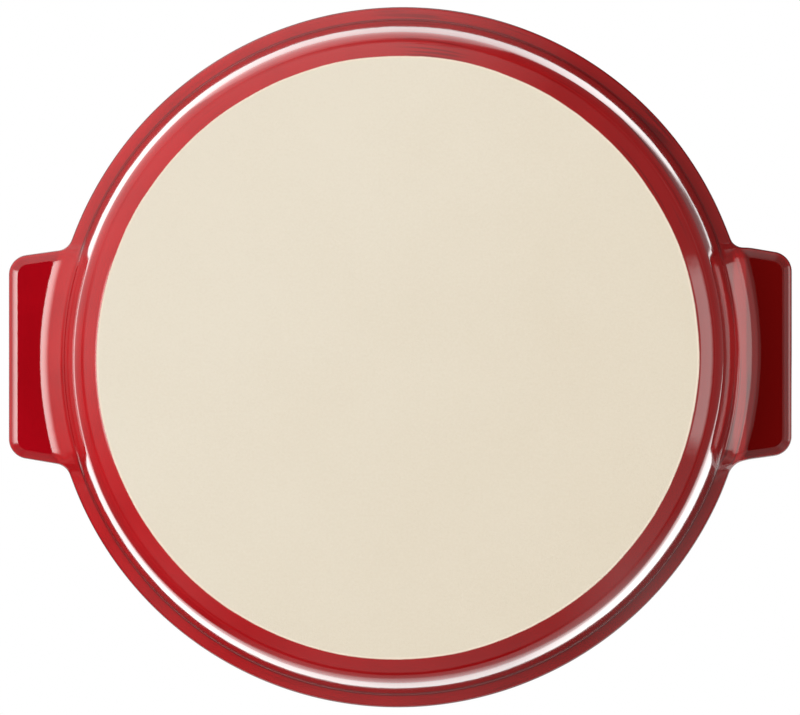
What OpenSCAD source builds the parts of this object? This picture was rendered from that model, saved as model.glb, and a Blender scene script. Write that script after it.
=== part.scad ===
// Round stoneware baker for one small cheese, with two tab handles and a lid.
// Sizes in millimetres. The origin is the centre of the flat base and +Z is up.
// The handles lie along X. The lid is drawn in place, resting on the ledge of the dish.

/* [Dish] */
// Radius of the flat, unglazed base
base_r = 73.2; // [60:0.2:90]
// Height of the dish without its lid
dish_h = 41; // [34:0.5:55]
// Steepness of the bevel round the base where it leaves the base, in degrees
bevel_low = 30; // [20:1:35]
// Steepness of the bevel at its upper edge, in degrees
bevel_high = 43; // [40:1:50]
// Radius of the bevel's slightly rounded face
bevel_round = 21; // [10:1:30]
// Radius of the rounding between the bevel and the wall
foot_round = 6; // [3:0.5:9]
// Lean of the wall away from upright, in degrees
wall_draft = 10.7; // [4:0.1:16]
// Thickness of the wall, square to its face
wall_t = 7; // [5.5:0.25:8]
// Thickness of the floor
floor_t = 6.5; // [5:0.25:9]
// Radius of the hollow corner between floor and wall, inside
well_round = 8; // [4:0.5:14]

/* [Rim] */
// How far the rim stands out from the wall under it
rim_over = 3.2; // [1.6:0.2:8]
// Thickness of the rim, whose edge is a half round
rim_t = 6; // [5:0.25:7]
// Radius of the hollow corner where the wall meets the rim
rim_fillet = 1; // [0.5:0.1:1.6]
// Depth of the ledge that carries the lid, below the top of the rim
ledge_d = 3; // [2:0.25:4]
// Width of the rim outside that ledge
lip_w = 5.3; // [4.6:0.1:6]
// Radius that softens the edges of the ledge and of the rim above it
edge_soft = 0.8; // [0.4:0.1:1]
// Radius of the hollow corner at the back of the ledge
ledge_fillet = 0.5; // [0.2:0.1:0.8]

/* [Handles] */
// How far a handle stands out from the rim
tab_reach = 10.2; // [8:0.2:20]
// Width of a handle where its sides cross the edge of the rim
tab_w = 52.8; // [40:0.2:64]
// Lean of each side of a handle towards the middle, in degrees
tab_taper = 9; // [0:0.5:10]
// Radius of the two outer corners of a handle, seen from above
tab_corner = 5; // [4:0.25:8]
// Thickness of a handle
tab_t = 6.8; // [5:0.2:8]
// Radius that eases a handle's faces towards its edges
tab_soft = 4; // [2:0.1:4.2]
// Tighter radius that then turns the edge of a handle
tab_edge = 1.2; // [0.6:0.1:1.8]
// Radius of the hollow corner under a handle, where it runs into the wall
tab_under = 8; // [4:0.25:10]
// Radius of the hollow corner between a handle's side and the rim, seen from above
tab_root = 4; // [1.5:0.25:5]

/* [Lid] */
// Gap between the edge of the lid and the rim round it
lid_gap = 0.5; // [0.3:0.1:1]
// Thickness of the lid
lid_t = 5.5; // [4.5:0.25:6.5]
// Height of the lid's flat top above the rim of the dish
lid_rise = 15.5; // [12:0.5:22]
// Width of the flat border of the lid
border_w = 5.8; // [4.5:0.1:9]
// Steepness of the lid's side above level, in degrees
lid_slope = 60; // [45:1:75]
// Radius of the hollow bend between border and side
bend_low = 4; // [3:0.25:6]
// Radius of the round shoulder between side and top
bend_high = 11; // [8:0.5:13]
// Height of the grip ring on top of the lid
ring_h = 3.5; // [2:0.25:3.75]
// Width of the grip ring
ring_w = 6; // [4:0.25:9]
// Radius of the middle of the grip ring
ring_r = 48; // [30:0.5:50]
// Radius of the hollow corners at the foot of the grip ring
ring_fillet = 1.5; // [0.5:0.25:2]

/* [Hidden] */
$fn = 180;
// Steps in a profile's tight arc and in its wide arc
tight = 6;
wide = 12;
// Angle through which the soft radius of a handle's edge runs, in degrees
soft_turn = 30;
// Facets round the corners of the hulled handle
hull_fn = 32;
glaze = [0.62, 0.05, 0.08];

// Points on an arc about the centre c, from the angle a to the angle b
function arc(c, r, a, b, n) = [for (i = [0:n]) c + r * [cos(a + (b - a) * i / n), sin(a + (b - a) * i / n)]];

// The bevel and the rounding over it are arcs that share a tangent, and the wall goes on from there
bevel_c = [base_r - bevel_round * sin(bevel_low), bevel_round * cos(bevel_low)];
foot_c = bevel_c + (bevel_round - foot_round) * [sin(bevel_high), -cos(bevel_high)];
// Outside of the wall: its radius at the height z
wall_start = foot_c.x + foot_round * cos(wall_draft);
wall_low = foot_c.y - foot_round * sin(wall_draft);
function wall_at(z) = wall_start + tan(wall_draft) * (z - wall_low);
// Inside of the wall, one wall thickness in
function well_at(z) = wall_at(z) - wall_t / cos(wall_draft);

// The rim's edge is a half round about this point
rim_low = dish_h - rim_t;
rim_r = wall_at(rim_low) + rim_over;
bead_r = rim_t / 2;
bead = [rim_r - bead_r, dish_h - bead_r];
// The centre of the hollow corner under the rim lies on a line beside the wall. A wide rim is flat
// below, and the corner touches that flat. On a narrow one it touches the half round, so its centre
// is both radii away from the middle of the half round, which gives a quadratic for its height.
function beside(z) = wall_at(z) + rim_fillet / cos(wall_draft);
wide_rim = beside(rim_low - rim_fillet) <= bead.x;
qa = 1 + pow(tan(wall_draft), 2);
qb = (beside(0) - bead.x) * tan(wall_draft) - bead.y;
qc = pow(beside(0) - bead.x, 2) + pow(bead.y, 2) - pow(bead_r + rim_fillet, 2);
corner_z = wide_rim ? rim_low - rim_fillet : (-qb - sqrt(qb * qb - qa * qc)) / qa;
corner = [beside(corner_z), corner_z];
corner_a = wide_rim ? -90 : atan2(corner.y - bead.y, corner.x - bead.x);

// Outside of the dish, as a solid with no well in it
body_profile = concat(
    [[0, 0]],
    arc(bevel_c, bevel_round, bevel_low - 90, bevel_high - 90, tight),
    arc(foot_c, foot_round, bevel_high - 90, -wall_draft, wide),
    arc(corner, rim_fillet, 180 - wall_draft, corner_a + 180, tight),
    arc(bead, bead_r, corner_a, 90, wide),
    [[0, dish_h]]
);

// The well, with the ledge for the lid at its mouth, and a stretch above it that cuts clear
ledge_z = dish_h - ledge_d;
ledge_in = well_at(ledge_z);
ledge_out = rim_r - lip_w;
well_low = floor_t + well_round;
well_mid = well_at(well_low - well_round * sin(wall_draft)) - well_round * cos(wall_draft);
well_profile = concat(
    [[0, floor_t]],
    arc([well_mid, well_low], well_round, -90, -wall_draft, wide),
    arc([ledge_in + edge_soft, ledge_z - edge_soft], edge_soft, 180 - wall_draft, 90, tight),
    arc([ledge_out - ledge_fillet, ledge_z + ledge_fillet], ledge_fillet, -90, 0, tight),
    arc([ledge_out + edge_soft, dish_h - edge_soft], edge_soft, 180, 90, tight),
    [[ledge_out + edge_soft, dish_h + rim_t], [0, dish_h + rim_t]]
);

// A handle tapers outwards from its width at the edge of the rim
tab_end = rim_r + tab_reach;
half_rim = tab_w / 2;
function half_at(x) = half_rim - (x - rim_r) * tan(tab_taper);
tab_z = dish_h - tab_t;
// A corner disc touches the side of the handle. The outer two touch its end as well, and the inner
// two lie over the ledge, where the well cuts them away.
function disc_at(x, side) = [x, side * (half_at(x) - tab_corner / cos(tab_taper)), tab_z];

// Flat disc with rounded edges, the shape that rounds a corner of a handle. Each edge is eased by a
// wide arc and turned by a tight one that shares its tangent.
turn_c = [tab_corner - tab_edge, tab_soft - (tab_soft - tab_edge) * cos(soft_turn)];
soft_c = turn_c + (tab_soft - tab_edge) * [-sin(soft_turn), cos(soft_turn)];
module pebble() {
    lower = concat(
        arc(soft_c, tab_soft, -90, soft_turn - 90, tight / 2),
        arc(turn_c, tab_edge, soft_turn - 90, 0, tight)
    );
    upper = [for (i = [len(lower) - 1:-1:0]) [lower[i].x, tab_t - lower[i].y]];
    rotate_extrude($fn = hull_fn)
        polygon(concat([[0, 0]], lower, upper, [[0, tab_t]]));
}

// Flat tab with rounded edges and corners, reaching in under the rim
module tab() {
    hull()
        for (side = [-1, 1]) {
            translate(disc_at(tab_end - tab_corner, side)) pebble();
            translate(disc_at(ledge_in, side)) pebble();
        }
}

// Hollow corner under a handle: a ring with a curved underside, kept only below the handle
under_r = wall_at(tab_z - tab_under) + tab_under / cos(wall_draft);
under_end = half_at(under_r) - tab_edge;
module under_fillet() {
    intersection() {
        rotate_extrude()
            polygon(concat(
                [[well_at(tab_z), tab_z + tab_edge], [well_at(tab_z), tab_z - tab_under]],
                arc([under_r, tab_z - tab_under], tab_under, 180 - wall_draft, 90, wide),
                [[under_r, tab_z + tab_edge]]
            ));
        translate([0, -under_end, 0]) cube([tab_end, 2 * under_end, dish_h]);
    }
}

// Hollow corner beside a handle, between its side and the rim: a web with a round cut out of it.
// The cut's centre is its own radius away from the side, and from the edge of the rim.
function root_x(y) = sqrt(pow(rim_r + tab_root, 2) - y * y);
root_y = half_rim + tab_root - (root_x(half_rim + tab_root) - rim_r) * tan(tab_taper);
root_c = [root_x(root_y), root_y];
web_z = tab_z + turn_c.y;
module root_web() {
    difference() {
        translate([0, 0, web_z])
            linear_extrude(tab_t - 2 * turn_c.y)
                polygon([
                    root_c - [tab_root * sin(tab_taper), tab_root * cos(tab_taper)],
                    root_c * rim_r / (rim_r + tab_root),
                    [bead.x * cos(asin(root_y / rim_r)), root_y],
                    [bead.x * cos(asin(root_y / rim_r)), half_rim - tab_edge],
                    [root_c.x, half_rim - tab_edge]
                ]);
        translate([root_c.x, root_c.y, 0]) cylinder(h = 2 * dish_h, r = tab_root);
    }
}

module handle() {
    tab();
    under_fillet();
    for (side = [0, 1]) mirror([0, side, 0]) root_web();
}

module dish() {
    color(glaze)
        difference() {
            union() {
                rotate_extrude() polygon(body_profile);
                for (side = [0, 1]) mirror([side, 0, 0]) handle();
            }
            rotate_extrude() polygon(well_profile);
        }
}

// The lid is an upturned shallow plate of even thickness: border, side and flat top.
lid_edge = ledge_out - lid_gap;
lid_top = dish_h + lid_rise;
border_top = ledge_z + lid_t;
low_c = [lid_edge - border_w, border_top + bend_low];
side_rise = lid_top - border_top - (bend_low + bend_high) * (1 - cos(lid_slope));
side_run = side_rise / tan(lid_slope);
high_c = [low_c.x - (bend_low + bend_high) * sin(lid_slope) - side_run, lid_top - bend_high];
border_soft = lid_t / 2 - edge_soft;
ring_in = ring_r - ring_w / 2;
ring_out = ring_r + ring_w / 2;
ring_soft = min(ring_h - ring_fillet, ring_w / 2 - ring_fillet / 2);
ring_top = lid_top + ring_h - ring_soft;

lid_profile = concat(
    arc([lid_edge - edge_soft, ledge_z + edge_soft], edge_soft, -90, 0, tight),
    arc([lid_edge - border_soft, border_top - border_soft], border_soft, 0, 90, tight),
    arc(low_c, bend_low, -90, -90 - lid_slope, wide),
    arc(high_c, bend_high, 90 - lid_slope, 90, wide),
    arc([ring_out + ring_fillet, lid_top + ring_fillet], ring_fillet, -90, -180, tight),
    arc([ring_out - ring_soft, ring_top], ring_soft, 0, 90, tight),
    arc([ring_in + ring_soft, ring_top], ring_soft, 90, 180, tight),
    arc([ring_in - ring_fillet, lid_top + ring_fillet], ring_fillet, 0, -90, tight),
    [[0, lid_top], [0, lid_top - lid_t]],
    arc(high_c, bend_high - lid_t, 90, 90 - lid_slope, wide),
    arc(low_c, bend_low + lid_t, -90 - lid_slope, -90, wide)
);

module lid() {
    color(glaze)
        rotate_extrude() polygon(lid_profile);
}

dish();
lid();
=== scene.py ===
# %% [markdown]
# A small round stoneware baker for one soft cheese, seen square from below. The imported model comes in
# first and stays as it is: it says where each piece sits. Everything after this cell dresses it.

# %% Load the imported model
import math

import bpy
import numpy as np
from mathutils import Matrix, Vector


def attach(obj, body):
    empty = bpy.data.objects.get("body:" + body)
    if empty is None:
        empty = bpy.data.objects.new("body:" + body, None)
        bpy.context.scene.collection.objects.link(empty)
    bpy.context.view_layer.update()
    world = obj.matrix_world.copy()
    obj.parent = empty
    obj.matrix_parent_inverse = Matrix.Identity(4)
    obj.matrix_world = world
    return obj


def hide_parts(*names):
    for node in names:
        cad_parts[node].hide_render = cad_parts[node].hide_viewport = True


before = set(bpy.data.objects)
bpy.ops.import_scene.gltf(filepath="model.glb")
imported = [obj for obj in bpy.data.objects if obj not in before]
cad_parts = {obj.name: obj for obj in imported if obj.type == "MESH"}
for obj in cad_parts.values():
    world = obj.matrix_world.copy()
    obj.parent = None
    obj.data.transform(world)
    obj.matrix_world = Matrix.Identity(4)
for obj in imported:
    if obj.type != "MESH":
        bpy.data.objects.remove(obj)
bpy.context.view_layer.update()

# %% [markdown]
# The photograph is taken from straight below, from 1.2 metres, with a long lens. The outer ring and
# the base have slightly different centres in it, which gives a tilt of a little under one degree. The
# camera is placed by its own axes: right is +X, and up in the picture is -Y.

# %% Camera
PIXELS_WIDE = 800
FOCAL_PIXELS = 4954
RIM_DISTANCE = 1.238
TILT, PITCH = math.radians(0.85), math.radians(0.14)
aim = Vector((0.00002, 0.00006, 0.038))

back = Vector((math.sin(TILT), -math.sin(PITCH), -math.cos(TILT))).normalized()
right = Vector((math.cos(TILT), 0, math.sin(TILT)))
up = back.cross(right)
camera_data = bpy.data.cameras.new("camera")
camera_data.sensor_width = 36
camera_data.lens = 36 * FOCAL_PIXELS / PIXELS_WIDE
camera_data.clip_start, camera_data.clip_end = 0.05, 20
camera = bpy.data.objects.new("camera", camera_data)
bpy.context.scene.collection.objects.link(camera)
turn = Matrix((right, up, back)).transposed().to_4x4()
camera.matrix_world = Matrix.Translation(aim + back * RIM_DISTANCE) @ turn
bpy.context.scene.camera = camera
bpy.context.scene.view_settings.view_transform = "Standard"
print("lens", round(camera_data.lens, 1), "mm")

# %% [markdown]
# Shader maths reads best as plain sums. A Term wraps one socket, and its operators add Math nodes.
# Every other node comes from Term.make, which sets the node up first and then fills its sockets.

# %% Shader terms
class Term:
    """One socket of a node tree, which can be used in sums with numbers and other terms."""

    def __init__(self, tree, socket=None):
        self.tree, self.socket = tree, socket

    def make(self, kind, settings=None, inputs=None, output=0):
        """A new node of this kind, with its settings and then its sockets, as the Term of one output."""
        node = self.tree.nodes.new(kind)
        for key, value in (settings or {}).items():
            if key == "stops":
                ramp = node.color_ramp
                while len(ramp.elements) < len(value):
                    ramp.elements.new(1)
                for element, (place, colour) in zip(ramp.elements, value):
                    element.position, element.color = place, (*colour, 1)
            else:
                setattr(node, key, value)
        for key, value in (inputs or {}).items():
            if isinstance(value, Term):
                self.tree.links.new(value.socket, node.inputs[key])
            else:
                node.inputs[key].default_value = value
        return Term(self.tree, node.outputs[output] if node.outputs else None)

    def math(self, operation, *values):
        return self.make("ShaderNodeMath", {"operation": operation}, dict(enumerate(values)))

    def __add__(self, other): return self.math("ADD", self, other)
    def __radd__(self, other): return self.math("ADD", other, self)
    def __sub__(self, other): return self.math("SUBTRACT", self, other)
    def __rsub__(self, other): return self.math("SUBTRACT", other, self)
    def __mul__(self, other): return self.math("MULTIPLY", self, other)
    def __rmul__(self, other): return self.math("MULTIPLY", other, self)
    def __truediv__(self, other): return self.math("DIVIDE", self, other)
    def __pow__(self, other): return self.math("POWER", self, other)

    def step(self, low, high):
        """Rises smoothly from 0 where the term is low to 1 where it is high."""
        return self.make("ShaderNodeMapRange", {"interpolation_type": "SMOOTHSTEP"},
                         {"Value": self, "From Min": low, "From Max": high})

    def mix(self, first, second):
        """Colour between two colours, by this term as the factor."""
        return self.make("ShaderNodeMix", {"data_type": "RGBA"}, {0: self, 6: first, 7: second}, 2)


def linear(red, green, blue):
    """Linear colour of an 8-bit screen colour, with an alpha of 1."""
    parts = np.array((red, green, blue)) / 255
    parts = np.where(parts > 0.04045, ((parts + 0.055) / 1.055) ** 2.4, parts / 12.92)
    return (*(float(v) for v in parts), 1)


print("a screen value of 128 is", round(linear(128, 0, 0)[0], 3), "in linear light")

# %% [markdown]
# Gloss shows what stands round the object, so the studio is drawn first. Angles from straight down are
# called polar here, and straight down is where the camera is. The tent is pale and uneven, brightest at
# the top and the left of the picture. It has a dark patch round the camera and an uneven dark gap near
# the horizon. A strong narrow window stands near the camera at the left, and a weaker one far out at
# the right. The camera itself sees plain white.

# %% Studio light all round
world = bpy.data.worlds.new("studio")
world.use_nodes = True
world.node_tree.nodes.clear()
bpy.context.scene.world = world
sky = Term(world.node_tree)
direction = sky.make("ShaderNodeTexCoord")
way = [sky.make("ShaderNodeSeparateXYZ", None, {0: direction}, axis) for axis in range(3)]
compass = sky.math("ARCTAN2", -1 * way[1], way[0]) / (2 * math.pi) + 0.5


def polar_above(start, end):
    """1 where the direction is more than so many degrees away from straight down, 0 nearer to it."""
    return (-1 * way[2]).step(math.cos(math.radians(start)), math.cos(math.radians(end)))


def by_compass(levels):
    """A strength up to 2 that changes with the compass angle: levels holds (degrees, strength) pairs."""
    turned = sorted((((angle + 180) % 360) / 360, level / 2) for angle, level in levels)
    turned = [(0, turned[0][1])] + turned + [(1, turned[0][1])]
    stops = [(place, (level,) * 3) for place, level in turned]
    return 2 * sky.make("ShaderNodeValToRGB", {"stops": stops}, {0: compass})


WINDOW_HALF = 14, 20


def window(azimuth, near, far):
    """A soft-edged window at a compass angle, as wide as WINDOW_HALF says to each side of it.

    It lies between two polar angles, near and far, each given as the two ends of a soft edge."""
    apart = sky.math("ABSOLUTE", compass - (azimuth / 360 + 0.5) % 1)
    apart = sky.math("MINIMUM", apart, 1 - apart)
    inner, outer = WINDOW_HALF
    return (1 - apart.step(inner / 360, outer / 360)) * polar_above(*near) * (1 - polar_above(*far))


TENT_LOW = [(0, 0.4), (30, 0.33), (60, 0.35), (75, 1.0), (90, 1.65), (105, 1.6), (130, 1.35), (150, 1.4),
            (180, 1.4), (200, 0.6), (210, 0.36), (225, 0.6), (240, 0.3), (255, 0.6), (270, 0.65),
            (300, 0.45), (315, 1.0), (330, 0.7), (345, 0.5)]
GAP_DEPTH = [(30, 0.3), (60, 0.9), (95, 0.7), (120, 0.1), (160, 0.1), (180, 0.8), (210, 0.7), (290, 0.95),
             (304, 0.2), (316, 0.2), (330, 0.8)]
TENT_HIGH, TENT_SCALE = 0.75, 0.7
LEFT_WINDOW, RIGHT_WINDOW, RIGHT_GLOW = 7.0, 2.4, 0.35
PATCH_WAY, PATCH_ROUND = (-0.035, 0.060, -0.9976), (9.5, 11.5)
along_patch = way[0] * PATCH_WAY[0] + way[1] * PATCH_WAY[1] + way[2] * PATCH_WAY[2]
off_patch = along_patch.step(*(math.cos(math.radians(angle)) for angle in PATCH_ROUND))
lower = off_patch * by_compass(TENT_LOW) * TENT_SCALE
upper = polar_above(88, 91)
gap = 1 - polar_above(84, 87) * (1 - polar_above(91, 95)) * by_compass(GAP_DEPTH)
left_window = window(180, (12, 14), (14, 60)) * LEFT_WINDOW
right_glow = window(0, (21, 23), (50, 53)) * RIGHT_GLOW
right_window = window(0, (50, 57), (81, 87)) * RIGHT_WINDOW + right_glow
studio = (lower * (1 - upper) + upper * TENT_HIGH) * gap + left_window + right_window

seen = sky.make("ShaderNodeLightPath", None, None, "Is Camera Ray")
lit = sky.make("ShaderNodeBackground", None, {"Color": (1, 0.985, 0.96, 1), "Strength": studio})
plain = sky.make("ShaderNodeBackground", None, {"Color": (1, 1, 1, 1), "Strength": 1})
both = sky.make("ShaderNodeMixShader", None, {0: seen, 1: lit, 2: plain})
sky.make("ShaderNodeOutputWorld", None, {"Surface": both})
print("studio of", len(world.node_tree.nodes), "nodes, windows", LEFT_WINDOW, RIGHT_WINDOW)

# %% [markdown]
# The floor is a plain pale sheet just under the foot. The photograph looks up from below it, so the
# floor is one-sided: from above it is solid and catches the shadow, from below it lets the eye and
# the light through.

# %% Floor
def one_sided(name, front):
    """A material that shows a shader on the side its faces point to, and nothing from behind."""
    material = bpy.data.materials.new(name)
    material.use_nodes = True
    material.node_tree.nodes.clear()
    sheet = Term(material.node_tree)
    behind = sheet.make("ShaderNodeNewGeometry", output="Backfacing")
    clear = sheet.make("ShaderNodeBsdfTransparent")
    mixed = sheet.make("ShaderNodeMixShader", None, {0: behind, 1: front(sheet), 2: clear})
    sheet.make("ShaderNodeOutputMaterial", None, {"Surface": mixed})
    return material


def only_seen_by(piece, *rays):
    """Keeps a stage sheet out of every kind of ray but the named ones."""
    for ray in ("camera", "diffuse", "glossy", "transmission", "volume_scatter", "shadow"):
        setattr(piece, "visible_" + ray, ray in rays)


FLOOR_SIZE, FLOOR_GAP, FLOOR_COLOUR = 1.6, 0.0004, (0.86, 0.86, 0.85, 1)
floor_mesh = bpy.data.meshes.new("floor")
corners = np.array([(-1, -1), (1, -1), (1, 1), (-1, 1)]) * FLOOR_SIZE
floor_mesh.from_pydata([(x, y, -FLOOR_GAP) for x, y in corners], [], [(0, 1, 2, 3)])
floor = bpy.data.objects.new("floor", floor_mesh)
bpy.context.scene.collection.objects.link(floor)
floor_mesh.materials.append(one_sided("pale_floor", lambda sheet: sheet.make(
    "ShaderNodeBsdfDiffuse", None, {"Color": FLOOR_COLOUR})))
only_seen_by(floor, "camera")
print("floor", 2 * FLOOR_SIZE, "m wide, normal", tuple(floor_mesh.polygons[0].normal))

# %% [markdown]
# Seen from above, the dish is one closed skin. Its outline is a circle with two tabs, made of lines
# and arcs that share their tangents. One quarter is worked out and mirrored for the rest.

# %% Outline of the dish
RIM_R, TAB_END = 87.36, 97.68
TAB_HALF, TAB_TAPER = 26.4, math.radians(9)
TAB_CORNER, TAB_ROOT = 5.0, 4.0
END_STEPS, CORNER_STEPS, SIDE_STEPS, ROOT_STEPS, RIM_STEPS = 8, 16, 15, 14, 64
ROOT_PASSES = 20


def around(centre, radius, start, end, steps, inward=False):
    """Points on an arc and their outward directions: centre plus radius times (cos, sin)."""
    angle = np.linspace(start, end, steps)
    ray = np.stack([np.cos(angle), np.sin(angle)], 1)
    return np.asarray(centre) + radius * ray, -ray if inward else ray


def straight(first, last, normal, steps):
    """Points between two ends, both left out, which all share one outward direction."""
    share = np.linspace(0, 1, steps + 2)[1:-1, None]
    return (1 - share) * first + share * last, np.repeat([normal], steps, 0)


side_out = np.array([math.sin(TAB_TAPER), math.cos(TAB_TAPER)])
corner_x = TAB_END - TAB_CORNER
corner_y = TAB_HALF - (corner_x - RIM_R) * math.tan(TAB_TAPER) - TAB_CORNER / math.cos(TAB_TAPER)
# The centre of the hollow beside a handle is TAB_ROOT away from the handle's side and from the rim.
# Its x and y follow from each other, and a few passes bring both to rest.
root = np.array([RIM_R, TAB_HALF + TAB_ROOT])
for _ in range(ROOT_PASSES):
    root[1] = TAB_HALF - (root[0] - RIM_R) * math.tan(TAB_TAPER) + TAB_ROOT / math.cos(TAB_TAPER)
    root[0] = math.sqrt((RIM_R + TAB_ROOT) ** 2 - root[1] ** 2)
root_turn = math.atan2(root[1], root[0])

corner = around((corner_x, corner_y), TAB_CORNER, 0, math.pi / 2 - TAB_TAPER, CORNER_STEPS)
hollow = around(root, TAB_ROOT, 1.5 * math.pi - TAB_TAPER, math.pi + root_turn, ROOT_STEPS, True)
rim_arc = around((0, 0), RIM_R, root_turn, math.pi / 2, RIM_STEPS)
middle = np.array([TAB_END, 0.0])
stretches = [
    (middle[None], np.array([(1, 0)])),
    straight(middle, corner[0][0], (1, 0), END_STEPS),
    corner,
    straight(corner[0][-1], hollow[0][0], side_out, SIDE_STEPS),
    hollow,
    (rim_arc[0][1:], rim_arc[1][1:]),
]
quarter = [np.concatenate(part) for part in zip(*stretches)]
flip = np.array([-1, 1])
half = [np.concatenate([part, (part * flip)[-2:0:-1]]) for part in quarter]
half = [np.concatenate([part, part[:1] * flip]) for part in half]
outline, outward = [np.concatenate([part, -part[1:-1]]) for part in half]
print("outline", len(outline), "points, span", np.ptp(outline, 0).round(2))

# %% [markdown]
# The skin follows one section all the way round. It leaves the middle of the base, climbs the bevel
# and the wall, runs out under the rim, over its edge and down into the well. Between rim and handle
# the section's numbers change smoothly, and that is what blends the handle into the bowl. tabness says
# how far a step round belongs to a handle, and reach how deep the section stays square to the outline.

# %% Section of the dish
BASE_R, HEIGHT, FLOOR_T = 73.2, 41.0, 6.5
BEVEL_LOW, BEVEL_HIGH, BEVEL_ROUND, FOOT_ROUND = math.radians(30), math.radians(43), 21.0, 8.0
LEAN_LOW, WALL_ROUND, DRAFT = math.radians(12), 300.0, math.radians(7.9)
RIM_UNDER, TAB_UNDER = 35.0, 34.2
HOLLOW_RIM, HOLLOW_TAB = np.array([0.7, 0.7, 0.7]), np.array([5.5, 17.0, 1.0])
HOLLOW_TURNS = np.radians([0, 28, 44]), np.radians([28, 44, 85.5])
RIM_EDGE, TAB_EDGE = np.array([4.3, 0.4, math.radians(50)]), np.array([4.0, 1.2, math.radians(30)])
LEDGE_D, LIP, EDGE_SOFT, LEDGE_FILLET, WELL_ROUND, WELL_MOUTH = 3.0, 5.3, 0.8, 0.5, 8.0, 76.64
INSET, TAB_BLEND = 3.0, (16.2, 21)
RIM_REACH, TAB_REACH = 2.0, 3.6


def smooth(value, low, high):
    """3t^2 - 2t^3 between two limits."""
    t = np.clip((value - low) / (high - low), 0, 1)
    return t * t * (3 - 2 * t)


def arc_points(centre, radius, start, end, steps):
    return around(centre, radius, start, end, steps)[0]


bevel_c = np.array([BASE_R - BEVEL_ROUND * math.sin(BEVEL_LOW), BEVEL_ROUND * math.cos(BEVEL_LOW)])
foot_c = bevel_c + (BEVEL_ROUND - FOOT_ROUND) * np.array([math.sin(BEVEL_HIGH), -math.cos(BEVEL_HIGH)])
wall_c = foot_c - (WALL_ROUND - FOOT_ROUND) * np.array([math.cos(LEAN_LOW), -math.sin(LEAN_LOW)])
wall_low = foot_c[1] - FOOT_ROUND * math.sin(LEAN_LOW)


def wall_at(z):
    """Outer radius of the wall at a height: a very wide arc, so that the wall leans less as it rises."""
    return wall_c[0] + np.sqrt(WALL_ROUND ** 2 - (z - wall_c[1]) ** 2)


def well_at(z):
    """Inner radius of the wall at a height: a straight line that leans outwards."""
    return WELL_MOUTH + math.tan(DRAFT) * (z - HEIGHT + LEDGE_D)


inset = outline - INSET * outward
axis_turn = np.degrees(np.arctan2(np.abs(inset[:, 1]), np.abs(inset[:, 0])))
tabness = 1 - smooth(axis_turn, *TAB_BLEND)
reach = RIM_REACH + (TAB_REACH - RIM_REACH) * tabness
bend = outline - reach[:, None] * outward
bend_r = np.hypot(*bend.T)
ray = bend / bend_r[:, None]
under = RIM_UNDER + (TAB_UNDER - RIM_UNDER) * tabness
soft_r, tight_r, soft_turn = (RIM_EDGE + (TAB_EDGE - RIM_EDGE) * tabness[:, None]).T
edge_width = tight_r + (soft_r - tight_r) * np.sin(soft_turn)
edge_height = soft_r - (soft_r - tight_r) * np.cos(soft_turn)
print("steps round a handle", int((tabness > 0.5).sum()), "and round the rim", int((tabness <= 0.5).sum()))

# %% [markdown]
# Where the wall meets the underside of the rim there is a hollow corner, tight all round the rim and
# wide below the handles, where the fingers go. A Bevel modifier couldn't change its radius so much on
# the way round. So the corner is a chain of arcs that share their tangents, blended by tabness.

# %% Hollow corner between wall and underside
hollow_r = (HOLLOW_RIM + (HOLLOW_TAB - HOLLOW_RIM) * tabness[:, None])[:, None, :]
turn_from, turn_to = HOLLOW_TURNS


def hollow_walk(turn):
    """Width and fall of the hollow corner up to a slope, summed over its arcs.

    An arc from slope a to slope b is R (sin b - sin a) wide and falls by R (cos a - cos b)."""
    part = np.clip(turn[..., None], turn_from, turn_to)
    width = (hollow_r * (np.sin(part) - np.sin(turn_from))).sum(-1)
    fall = (hollow_r * (np.cos(turn_from) - np.cos(part))).sum(-1)
    return width, fall


def hollow_turn(width):
    """Slope of the hollow corner at a width: on each arc, sin b = sin a + width / R."""
    widths = hollow_r * (np.sin(turn_to) - np.sin(turn_from))
    before = np.cumsum(widths, -1) - widths
    part = np.clip(width[..., None] - before, 0, widths)
    return (np.arcsin(np.sin(turn_from) + part / hollow_r) - turn_from).sum(-1)


full_width, full_fall = hollow_walk(np.full((len(outline), 1), turn_to[-1]))
hollow_end = wall_at(under - full_fall[:, 0]) + full_width[:, 0]


def drop(radius):
    """How far the hollow corner hangs below the underside at a radius."""
    return hollow_walk(hollow_turn(np.maximum(hollow_end[:, None] - radius, 0)))[1]


def edge_rise(depth):
    """Height of the rounded underside above its flat at a distance in from the outline."""
    depth = np.clip(depth, 0, edge_width[:, None])
    soft_c, tight_c = edge_width[:, None], tight_r[:, None]
    on_soft = soft_r[:, None] - np.sqrt(np.maximum(soft_r[:, None] ** 2 - (soft_c - depth) ** 2, 0))
    on_tight = edge_height[:, None] - np.sqrt(np.maximum(tight_c ** 2 - (tight_c - depth) ** 2, 0))
    return np.where(depth > tight_c * (1 - np.sin(soft_turn[:, None])), on_soft, on_tight)


def lifted(radius, height):
    """Points in the section planes, from radii and heights with one row for each step round."""
    flat = radius[..., None] * ray[:, None, :]
    return np.concatenate([flat, np.broadcast_to(height, radius.shape)[..., None]], 2)


def same_all_round(profile):
    """A profile of (radius, height) that doesn't change round the dish."""
    steps = len(outline), len(profile)
    return lifted(np.broadcast_to(profile[:, 0], steps), np.broadcast_to(profile[:, 1], steps))


print("the hollow corner ends", hollow_end.min().round(2), "to", hollow_end.max().round(2), "mm out")

# %% [markdown]
# The lower part is a turned form: a flat base, a bevel, a rounding, and a wall that leans outwards a
# little less as it rises. A lathe's profile alone wouldn't do, because the wall ends lower where the
# wide hollow of a handle begins.

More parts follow.
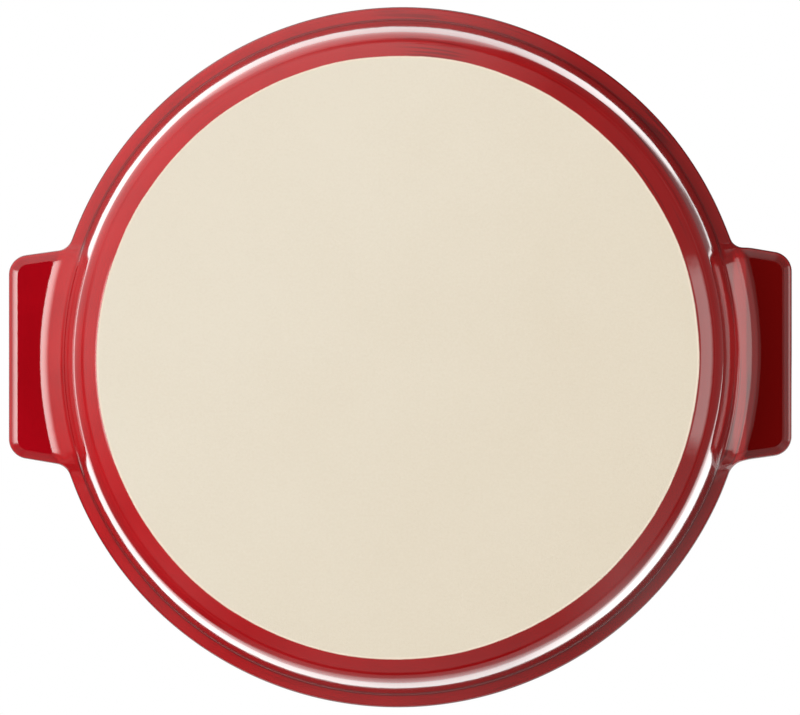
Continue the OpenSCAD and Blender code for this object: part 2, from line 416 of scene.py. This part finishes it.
# %% Base, bevel, foot and wall
base_line = np.array([(r, 0) for r in (6, 18, 32, 46, 58, 66, 70, 72, 72.8)])
foot_line = np.concatenate([
    base_line,
    arc_points(bevel_c, BEVEL_ROUND, BEVEL_LOW - math.pi / 2, BEVEL_HIGH - math.pi / 2, 9),
    arc_points(foot_c, FOOT_ROUND, BEVEL_HIGH - math.pi / 2, -LEAN_LOW, 14)[1:],
])
wall_top = under - full_fall[:, 0]
share = np.linspace(0, 1, 13)[None, 1:-1]
wall_z = wall_low + (wall_top[:, None] - wall_low) * share
lower_skin = np.concatenate([same_all_round(foot_line), lifted(wall_at(wall_z), wall_z)], 1)
print("the wall climbs from", wall_low.round(2), "to", wall_top.max().round(2), "mm")

# %% [markdown]
# The underside starts in the hollow corner and runs out flat, as far as the bend where the section turns
# square to the outline. Its steps are spread by length, with more of them on the tight arcs.

# %% Hollow corner and underside
# A pace above 1 puts the steps of a stretch closer together, and one below 1 farther apart.
HOLLOW_PACE, FLAT_PACE, UNDER_STEPS = np.array([1, 1, 4]), 0.6, 34
last_turn = hollow_turn(np.maximum(hollow_end - bend_r, 0)[:, None])
pace = hollow_r[:, 0, :] * HOLLOW_PACE
arc_length = pace * (turn_to - np.clip(last_turn, turn_from, turn_to))
arc_total = arc_length.sum(1)[:, None]
flat_length = np.maximum(bend_r - hollow_end, 0)[:, None]
spent = np.linspace(0, 1, UNDER_STEPS)[None, :] * (arc_total + FLAT_PACE * flat_length)
before = np.cumsum(arc_length[:, ::-1], 1)[:, ::-1] - arc_length
gone = np.clip(spent[..., None] - before[:, None, :], 0, arc_length[:, None, :]) / pace[:, None, :]
width, fall = hollow_walk(turn_to[-1] - gone.sum(-1))
under_radius = hollow_end[:, None] - width + np.maximum(spent - arc_total, 0) / FLAT_PACE
turn_share = (ray * outward).sum(1)[:, None]
depth = reach[:, None] + (bend_r[:, None] - under_radius) * turn_share
under_skin = lifted(under_radius, under[:, None] + edge_rise(depth) - fall)
under_width = np.ptp(under_radius, 1)
print("the underside is", under_width.min().round(2), "to", under_width.max().round(2), "mm wide")

# %% [markdown]
# The rim's edge is soft and nearly a half round, and the edge of a handle has an upright side between two
# shoulders. Both are the same walk over flats, wide arcs, tight arcs and a side, with other lengths.

# %% Edge of the rim and of the handles
SPARE_PACE, TIGHT_PACE, SIDE_PACE, EDGE_STEPS = 0.4, 1.6, 0.5, 60
side = HEIGHT - under - 2 * edge_height
first_turn = np.arcsin(np.clip((edge_width - reach) / soft_r, 0, np.sin(soft_turn)))
spare = np.maximum(reach - edge_width, 0)
soft_length = soft_r * (soft_turn - first_turn)
tight_length = TIGHT_PACE * tight_r * (math.pi / 2 - soft_turn)
lengths = np.stack([SPARE_PACE * spare, soft_length, tight_length, SIDE_PACE * side,
                    tight_length, soft_length, SPARE_PACE * spare], 1)
ends = np.cumsum(lengths, 1)
walked = np.linspace(0, 1, EDGE_STEPS)[None, 1:] * ends[:, -1:]


def portion(part):
    """Share of one part of the edge that has been walked, from 0 to 1."""
    begin = (ends[:, part] - lengths[:, part])[:, None]
    return np.clip((walked - begin) / np.maximum(lengths[:, part], 1e-9)[:, None], 0, 1)


def column(values):
    """One value for each step round, ready to meet a row of steps along the section."""
    return values[:, None]


# The edge is walked in seven parts: a flat, two arcs, the upright side, and the same in reverse.
turn_start, turn_end = column(first_turn), column(soft_turn)
turn_1 = turn_start + (turn_end - turn_start) * portion(1)
turn_2 = turn_end + (math.pi / 2 - turn_end) * portion(2)
turn_4 = math.pi / 2 - (math.pi / 2 - turn_end) * portion(4)
turn_5 = turn_end - (turn_end - turn_start) * portion(5)
edge_depth = (column(reach) - column(spare) * (portion(0) - portion(6))
              - column(soft_r) * (np.sin(turn_1) - np.sin(turn_start))
              - column(tight_r) * (np.sin(turn_2) - np.sin(turn_end))
              + column(tight_r) * (1 - np.sin(turn_4))
              + column(soft_r) * (np.sin(turn_end) - np.sin(turn_5)))
edge_z = (column(under) + edge_rise(column(reach)) + column(side) * portion(3)
          + column(soft_r) * (np.cos(turn_start) - np.cos(turn_1))
          + column(tight_r) * (np.cos(turn_end) - np.cos(turn_2))
          + column(tight_r) * np.cos(turn_4)
          + column(soft_r) * (np.cos(turn_5) - np.cos(turn_end)))
edge_plan = outline[:, None, :] - edge_depth[..., None] * outward[:, None, :]
# Where the hollow corner reaches out to the edge, the edge hangs down with it, most at its foot.
hang_share = (HEIGHT - edge_z) / column(HEIGHT - under)
edge_z = edge_z - drop(np.hypot(edge_plan[..., 0], edge_plan[..., 1])) * hang_share
edge_skin = np.concatenate([edge_plan, edge_z[..., None]], 2)
print("the edge stands between", edge_z.min().round(2), "and", edge_z.max().round(2), "mm")

# %% [markdown]
# Inside the rim lie the ledge that carries the lid and, below it, the well for the cheese. The
# photograph shows neither, so they are plain: one profile that is the same all round.

# %% Top, ledge for the lid, and the well
ledge_z = HEIGHT - LEDGE_D
ledge_out = RIM_R - LIP
ledge_in = well_at(ledge_z)
lip_r = ledge_out + EDGE_SOFT
share = np.linspace(0, 1, 9)[None, 1:-1]
top_radius = column(bend_r) + (lip_r - column(bend_r)) * share
top_depth = column(reach) + (column(bend_r) - top_radius) * turn_share
top_skin = lifted(top_radius, HEIGHT - edge_rise(top_depth))

well_c_z = FLOOR_T + WELL_ROUND
well_c_r = well_at(well_c_z - WELL_ROUND * math.sin(DRAFT)) - WELL_ROUND * math.cos(DRAFT)
well_top = arc_points((ledge_in + EDGE_SOFT, ledge_z - EDGE_SOFT), EDGE_SOFT, math.pi / 2,
                      math.pi - DRAFT, 6)
well_foot = arc_points((well_c_r, well_c_z), WELL_ROUND, -DRAFT, -math.pi / 2, 16)
share = np.linspace(0, 1, 11)[1:-1, None]
well_line = np.concatenate([
    arc_points((lip_r, HEIGHT - EDGE_SOFT), EDGE_SOFT, math.pi / 2, math.pi, 6),
    arc_points((ledge_out - LEDGE_FILLET, ledge_z + LEDGE_FILLET), LEDGE_FILLET, 0, -math.pi / 2, 5),
    well_top,
    well_top[-1] + (well_foot[0] - well_top[-1]) * share,
    well_foot,
    [(r, FLOOR_T) for r in (52, 38, 24, 10)],
])
dish_skin = np.concatenate([lower_skin, under_skin, edge_skin, top_skin, same_all_round(well_line)], 1)
print("the ledge runs from", round(ledge_in, 2), "to", round(ledge_out, 2), "mm")

# %% [markdown]
# Stoneware moves in the kiln and is never quite round. This dish is longer along one slanting line than
# across it, by less than a millimetre, and its handles sit a little off the middle. The gloss shows both
# more clearly than the outline does, so the finished skin is stretched and slipped by a formula.

# %% Out of round, as it came from the kiln
OVAL, OVAL_TURN, OVAL_FADE = 0.004, math.radians(-50), (86, 94)
RIGHT_SLIP, LEFT_SLIP, SLIP_START = -0.85, -0.1, (80, 88)


def ovalled(points):
    """Radius times 1 + OVAL cos 2(angle - OVAL_TURN), and each handle slipped a little in Y.

    The oval fades out along the handles, so that their ends keep their place."""
    x, y = points[..., 0], points[..., 1]
    swell = OVAL * np.cos(2 * (np.arctan2(y, x) - OVAL_TURN)) * (1 - smooth(np.abs(x), *OVAL_FADE))
    slip = np.where(x > 0, RIGHT_SLIP, LEFT_SLIP) * smooth(np.abs(x), *SLIP_START)
    return np.stack([x * (1 + swell), y * (1 + swell) + slip, points[..., 2]], -1)


dish_skin = ovalled(dish_skin)
print("dish skin", dish_skin.shape, "span", np.ptp(dish_skin, (0, 1)).round(2))

# %% [markdown]
# Two thin dark lines of painted shade show on the dish: one in the shade just outside the crease under
# the rim, fainter below the handles, and one round the outermost edge. They could be painted by height
# and radius, but they follow the section. So each point of the skin gets a number for them, which the
# material reads later.

# %% Where shade is painted in thin lines
CREASE_SHIFT, CREASE_WIDTH, CREASE_FAINT = 0.3, 0.2, 0.75
EDGE_BAND, EDGE_TOP = (0.1, 0.45), (38.5, 39.5)
crease = wall_at(wall_top) + CREASE_SHIFT
near_crease = np.exp(-((under_radius - column(crease)) / CREASE_WIDTH) ** 2)
near_crease = near_crease * (1 - CREASE_FAINT * column(tabness))
on_edge = (1 - smooth(edge_depth, *EDGE_BAND)) * (1 - smooth(edge_z, *EDGE_TOP))
under_from = lower_skin.shape[1]
edge_from = under_from + under_skin.shape[1]
# Painted shade lines: a dark line beside the crease and one round the outer edge.
crease_and_edge_shade = np.zeros(dish_skin.shape[:2])
crease_and_edge_shade[:, under_from:edge_from] = near_crease
crease_and_edge_shade[:, edge_from:edge_from + edge_skin.shape[1]] = on_edge
print("share of the skin's points under thick glaze", (crease_and_edge_shade > 0.5).mean().round(3))

# %% [markdown]
# A grid of points becomes a mesh in one go. Each cell is a four-sided face, the grid closes on itself
# the long way, and each end of it is a ring about the axis that closes in a fan of triangles.

# %% From a grid of points to a piece
MM = 0.001


def grid_cells(steps_round, steps_along):
    """Numbers of a grid's points, of their neighbours one step round, and the cells between them."""
    number = np.arange(steps_round * steps_along).reshape(steps_round, steps_along)
    after = np.roll(number, -1, 0)
    cells = np.stack([number[:, :-1], after[:, :-1], after[:, 1:], number[:, 1:]], -1)
    return number, after, cells.reshape(-1, 4)


def closed_skin(name, points):
    """A smooth closed mesh over a grid of points in millimetres (steps round, steps along, 3)."""
    number, after, cells = grid_cells(*points.shape[:2])
    poles = points[:, [0, -1]].mean(0)
    low_pole, high_pole = np.full((2, len(points)), number.size) + [[0], [1]]
    fan_low = np.stack([after[:, 0], number[:, 0], low_pole], -1)
    fan_high = np.stack([number[:, -1], after[:, -1], high_pole], -1)
    mesh = bpy.data.meshes.new(name)
    mesh.from_pydata((np.concatenate([points.reshape(-1, 3), poles]) * MM).tolist(), [],
                     cells.tolist() + fan_low.tolist() + fan_high.tolist())
    mesh.polygons.foreach_set("use_smooth", np.ones(len(mesh.polygons), bool))
    mesh.update()
    piece = bpy.data.objects.new(name, mesh)
    bpy.context.scene.collection.objects.link(piece)
    print(name, len(mesh.polygons), "faces")
    return piece


dish = closed_skin("glazed_dish", dish_skin)
# The painted shade lines are stored on the points for the material to read.
shade_lines = dish.data.attributes.new("thick", "FLOAT", "POINT")
AT_POLES = (0, 0)
shade_lines.data.foreach_set("value", np.append(crease_and_edge_shade.reshape(-1), AT_POLES))
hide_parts("dish")
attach(dish, "root")

# %% [markdown]
# The dish was photographed lying on a white sheet, and the steep wall mirrors that sheet as a bright
# ring. Here a card with a hole stands in for it, level with the rim. It is one-sided and only gloss
# sees it, from below. It is dark within a millimetre of the rim, where a real sheet lies in the rim's
# own shade, and bright beyond that. How bright, and how far out, changes with the bearing.

# %% White card behind the rim
CARD_HEIGHT = 41.3
CARD_NEAR = [(0, 1.8), (50, 1.9), (70, 1.35), (90, 1.3), (110, 1.5), (130, 2.1), (180, 2.1), (210, 1.8),
             (230, 2.1), (250, 1.8), (270, 1.5), (290, 1.5), (310, 2.3), (330, 2.3), (360, 1.8)]
CARD_REACH = [(0, 2), (30, 2), (50, 6), (70, 25), (90, 190), (110, 190), (130, 15), (150, 13), (210, 18),
              (230, 36), (250, 60), (270, 90), (290, 60), (310, 28), (330, 40), (360, 2)]
CARD_FAR = [(0, 0.2), (50, 0.1), (70, 0.1), (90, 0.5), (110, 1.2), (130, 1.0), (150, 1.0), (180, 0.6),
            (200, 0.15), (235, 0.05), (250, 0.5), (270, 0.5), (290, 0.65), (310, 1.0), (330, 0.2),
            (360, 0.2)]
SHADE_START, SHADE_END, NEAREST, FADE = 1.0, 1.3, 0.1, (-0.25, 0.3)
step_out = np.array([-2.0, -0.6, 0, 0.1, 0.2, 0.3, 0.4, 0.5, 0.8, 1.2, 1.6, 2, 2.5, 4, 5, 6, 7.5, 10, 12,
                     14, 17, 20, 24, 28, 34, 40, 50, 60, 75, 100, 150, 220, 400, 900])
away = outline / np.hypot(*outline.T)[:, None]
card_plan = outline[:, None, :] + step_out[None, :, None] * away[:, None, :]
card_points = ovalled(np.concatenate([card_plan, np.full((*card_plan.shape[:2], 1), CARD_HEIGHT)], 2))
cells = grid_cells(*card_points.shape[:2])[2]
card_mesh = bpy.data.meshes.new("card")
card_mesh.from_pydata((card_points.reshape(-1, 3) * MM).tolist(), [], cells.tolist())
# The distance from the rim is the least over the outline's points, and negative inside the rim.
spans = np.hypot(*(card_plan.reshape(-1, 1, 2) - outline[None]).transpose(2, 0, 1)).min(1)
spans = spans * np.sign(np.tile(step_out, len(outline)))
bearing = np.degrees(np.arctan2(-card_plan[..., 1], card_plan[..., 0])).reshape(-1) % 360
near_light, white_reach, far_light = [
    np.interp(bearing, *zip(*pairs)) for pairs in (CARD_NEAR, CARD_REACH, CARD_FAR)]
fade = smooth(np.log(np.maximum(spans, NEAREST) / white_reach), *FADE)
card_light = (near_light + (far_light - near_light) * fade) * smooth(spans, SHADE_START, SHADE_END)
card_mesh.attributes.new("light", "FLOAT", "POINT").data.foreach_set("value", card_light)
card = bpy.data.objects.new("card", card_mesh)
bpy.context.scene.collection.objects.link(card)
print("card normal points down:", card_mesh.polygons[0].normal.z < 0)


def card_front(sheet):
    """White light as strong as the card's own attribute says."""
    level = sheet.make("ShaderNodeAttribute", {"attribute_name": "light"}, None, "Fac")
    return sheet.make("ShaderNodeEmission", None, {"Color": (1, 1, 0.99, 1), "Strength": level})


card_mesh.materials.append(one_sided("white_card", card_front))
only_seen_by(card, "glossy")

# %% [markdown]
# The lid is an upturned shallow plate turned about one axis, so its section is drawn once and spun.
# The photograph hides it behind the dish. It rests on the ledge and is lifted by the low ring on top.

# %% Lid
LID_T, LID_RISE, BORDER, SLOPE = 5.5, 15.5, 5.8, math.radians(60)
LID_GAP, BEND_LOW, BEND_HIGH = 0.5, 4.0, 11.0
RING_H, RING_W, RING_R, RING_FILLET = 3.5, 6.0, 48.0, 1.5
lid_edge = ledge_out - LID_GAP
lid_top = HEIGHT + LID_RISE
border_top = ledge_z + LID_T
low_c = (lid_edge - BORDER, border_top + BEND_LOW)
side_rise = lid_top - border_top - (BEND_LOW + BEND_HIGH) * (1 - math.cos(SLOPE))
high_c = (low_c[0] - (BEND_LOW + BEND_HIGH) * math.sin(SLOPE) - side_rise / math.tan(SLOPE),
          lid_top - BEND_HIGH)
border_soft = LID_T / 2 - EDGE_SOFT
ring_in, ring_out = RING_R - RING_W / 2, RING_R + RING_W / 2
ring_soft = min(RING_H - RING_FILLET, RING_W / 2 - RING_FILLET / 2)
ring_z = lid_top + RING_H - ring_soft
right_angle = math.pi / 2
lid_line = np.concatenate([
    [(r, lid_top - LID_T) for r in (8, 20, 32, 44)],
    arc_points(high_c, BEND_HIGH - LID_T, right_angle, right_angle - SLOPE, 12),
    arc_points(low_c, BEND_LOW + LID_T, -right_angle - SLOPE, -right_angle, 14),
    arc_points((lid_edge - EDGE_SOFT, ledge_z + EDGE_SOFT), EDGE_SOFT, -right_angle, 0, 6),
    arc_points((lid_edge - border_soft, border_top - border_soft), border_soft, 0, right_angle, 8),
    arc_points(low_c, BEND_LOW, -right_angle, -right_angle - SLOPE, 12),
    arc_points(high_c, BEND_HIGH, right_angle - SLOPE, right_angle, 16),
    arc_points((ring_out + RING_FILLET, lid_top + RING_FILLET), RING_FILLET, -right_angle, -math.pi, 8),
    arc_points((ring_out - ring_soft, ring_z), ring_soft, 0, right_angle, 9),
    arc_points((ring_in + ring_soft, ring_z), ring_soft, right_angle, math.pi, 9),
    arc_points((ring_in - RING_FILLET, lid_top + RING_FILLET), RING_FILLET, 0, -right_angle, 8),
    [(r, lid_top) for r in (36, 26, 16, 6)],
])
LID_STEPS = 360
spin = np.linspace(0, 2 * math.pi, LID_STEPS, endpoint=False)
circle = np.stack([np.cos(spin), np.sin(spin)], 1)
lid_skin = np.concatenate([
    lid_line[None, :, :1] * circle[:, None, :],
    np.broadcast_to(lid_line[None, :, 1:], (len(spin), len(lid_line), 1)),
], 2)
lid = closed_skin("glazed_lid", lid_skin)
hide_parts("lid")
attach(lid, "root")

# %% [markdown]
# The glaze is a coloured glass over pale clay. It could be a picture laid on the skin, but here it is
# sums on the place of each point, in millimetres, so that it fits the form exactly. between() is the
# stencil that most of them use.

# %% Places on the glaze
glaze = bpy.data.materials.new("red_glaze")
glaze.use_nodes = True
glaze.node_tree.nodes.clear()
tree = Term(glaze.node_tree)
place = tree.make("ShaderNodeTexCoord", output="Object")
x, y, z = (tree.make("ShaderNodeSeparateXYZ", None, {0: place}, axis) / MM for axis in range(3))
along_handles, across_handles = tree.math("ABSOLUTE", x), tree.math("ABSOLUTE", y)
plain_radius = (x * x + y * y) ** 0.5
turned = math.cos(2 * OVAL_TURN) * (x * x - y * y) + math.sin(2 * OVAL_TURN) * 2 * x * y
radius = plain_radius * (1 - OVAL * turned / (x * x + y * y + 1))


def noise(scale, detail=2, rough=0.5, vector=place):
    """Cloudy noise between 0 and 1, with so many clouds to the metre."""
    return tree.make("ShaderNodeTexNoise", None, {"Vector": vector, "Scale": scale, "Detail": detail,
                                                 "Roughness": rough}, "Fac")


def between(value, rise, fall):
    """1 where the value lies between two soft limits, and 0 outside them."""
    return value.step(*rise) * (1 - value.step(*fall))


print("places take", len(glaze.node_tree.nodes), "nodes")

# %% [markdown]
# The base is wiped clean before the firing, because glaze would stick it to the kiln. The edge of the
# glaze wanders by a fraction of a millimetre. The red is painted from a bright crimson at the left to a
# deep one at the right, more than this studio's light brings about: this is painted shade, for light that
# falls from the left. The flat underside of the handles is painted darker still, as painted shade.

# %% Base and reds
BASE_GLAZE_R, UNDER_HANDLE = 73.0, (88.5, 90)
wander = (noise(45) - 0.5) * 0.6 + (noise(400) - 0.5) * 0.1
wandered = radius + wander
base_mask = (1 - wandered.step(BASE_GLAZE_R - 0.1, BASE_GLAZE_R + 0.2)) * (1 - z.step(0.5, 0.9))
# Painted shade: the red darkens from the left to the right, for light that falls from the left.
painted_right_shade = (x + y * 0.13).step(-85, 85)
red = painted_right_shade.mix(linear(205, 16, 26), linear(152, 12, 13))
# Painted shade under the handles: the red of their flat underside, darker at the right too.
handle_shade_red = painted_right_shade.mix(linear(184, 10, 26), linear(120, 11, 10))
under_handle_shade = radius.step(*UNDER_HANDLE) * between(z, (33.0, 34.0), (34.4, 34.9))
print("base and reds:", len(glaze.node_tree.nodes), "nodes so far")

# %% [markdown]
# This studio is simpler than the real one, so soft stencils paint light and shade into the red: a painted
# light in the hollow under the right handle, and painted shade a little darker on the wall under the rim,
# but hardly so below the handles. All of it is mottled, because the clay shows through unevenly.

# %% Painted light in the hollow, painted shade on the wall, and mottling
LIT_HOLLOW_X, LIT_HOLLOW_RISE = ((82.5, 83.5), (85.8, 86.6)), (29, 31)
SHADED_WALL_Z, SHADED_WALL_END, BESIDE_HANDLE = ((8, 19), (34.3, 35.0)), (84.0, 84.4), (76.5, 78.5)
# Painted light: a brighter red in the hollow under the right handle.
painted_hollow_light = between(x, *LIT_HOLLOW_X) * z.step(*LIT_HOLLOW_RISE) * (1 - across_handles.step(24.5, 27.5))
red = painted_hollow_light.mix(red, linear(196, 15, 19))
# Painted shade: the wall under the rim is darkened, less so beside the handles.
wall_shade = between(z, *SHADED_WALL_Z) * (1 - radius.step(*SHADED_WALL_END))
by_handle = along_handles.step(*BESIDE_HANDLE) * (1 - across_handles.step(23, 28))
red = (wall_shade * (0.4 - 0.35 * by_handle)).mix(red, linear(45, 2, 4))
# Painted shade: the flat underside of the handles takes that darker red.
red = under_handle_shade.mix(red, handle_shade_red)
red = ((noise(60, 3) - 0.45) * 0.8).mix(red, linear(120, 6, 10))
print("hollow and wall:", len(glaze.node_tree.nodes), "nodes so far")

# %% [markdown]
# Thin dark streaks run round the foot and the rim where the glaze moved while it was molten. They are
# They are noise on coordinates that are wide round the dish and narrow down its side, and they come and go
# in patches. The painted shade lines of the crease and the edge come from the numbers stored on the skin.

# %% Streaks and painted shade lines
STREAKS_ROUND, STREAKS_DOWN, STREAK_TOP = 2.2, 0.75, (36.0, 37.8)
streak_place = tree.make("ShaderNodeCombineXYZ", None, {
    0: x / plain_radius * STREAKS_ROUND,
    1: y / plain_radius * STREAKS_ROUND,
    2: (plain_radius + z) * STREAKS_DOWN,
})
streak = noise(1, 1, vector=streak_place)
streaky = noise(28, 1).step(0.47, 0.62) * (1 - under_handle_shade) * (1 - wall_shade)
streaky = streaky * x.step(-90, 50) * (1 - z.step(*STREAK_TOP))
red = (streak.step(0.5, 0.62) * streaky * 0.6).mix(red, linear(84, 5, 8))
# Painted shade: the dark lines of the crease and the outer edge, read from the skin.
thick = tree.make("ShaderNodeAttribute", {"attribute_name": "thick"}, None, "Fac")
red = (thick * 0.7).mix(red, linear(60, 3, 5))
print("streaks:", len(glaze.node_tree.nodes), "nodes so far")

# %% [markdown]
# The bare clay is a warm cream with a fine grain. Painted shade makes it a little darker towards one
# side. A thin and paler line runs along the edge of the glaze.

# %% Bare clay
HALO = 0.5, 0.3
# Painted shade: the clay darkens towards +X and +Y; the noise is the clay's own grain.
clay_grain_and_shade = (x * 0.8 + y * 0.6).step(-75, 75) * 0.7
clay_grain_and_shade = clay_grain_and_shade + (noise(38, 3) - 0.5) * 0.5 + (noise(1500, 2) - 0.5) * 0.7
clay = clay_grain_and_shade.mix(linear(245, 236, 218), linear(237, 225, 203))
halo = wandered.step(*(BASE_GLAZE_R - width for width in HALO))
clay = halo.mix(clay, linear(255, 240, 220))
colour = base_mask.mix(red, clay)
print("clay:", len(glaze.node_tree.nodes), "nodes so far")

# %% [markdown]
# Glaze is smooth glass whose surface swells a little, which makes its reflections waver. The clay is
# matt and has a fine tooth. Both are bump, as neither is deep enough to change the outline.

# %% Surface and shader
GLAZE_SWELL, CLAY_TOOTH = 0.00006, 0.0001
GLAZE_ROUGH, CLAY_ROUGH, GLAZE_IOR = 0.06, 0.81, 1.65
wave = noise(170, 2) * 0.5 + noise(900, 2) * 0.06 + streak * streaky * 0.6
grain = noise(2600, 3, 0.6)
height = wave * (1 - base_mask) * GLAZE_SWELL + grain * base_mask * CLAY_TOOTH
normal = tree.make("ShaderNodeBump", None, {"Strength": 1, "Distance": 1, "Height": height}, "Normal")
shader = tree.make("ShaderNodeBsdfPrincipled", None, {
    "Base Color": colour,
    "Roughness": base_mask * (CLAY_ROUGH - GLAZE_ROUGH) + GLAZE_ROUGH,
    "Normal": normal,
    "IOR": GLAZE_IOR,
})
tree.make("ShaderNodeOutputMaterial", None, {"Surface": shader})
for piece in (dish, lid):
    piece.data.materials.append(glaze)
print("materials", [m.name for m in bpy.data.materials])
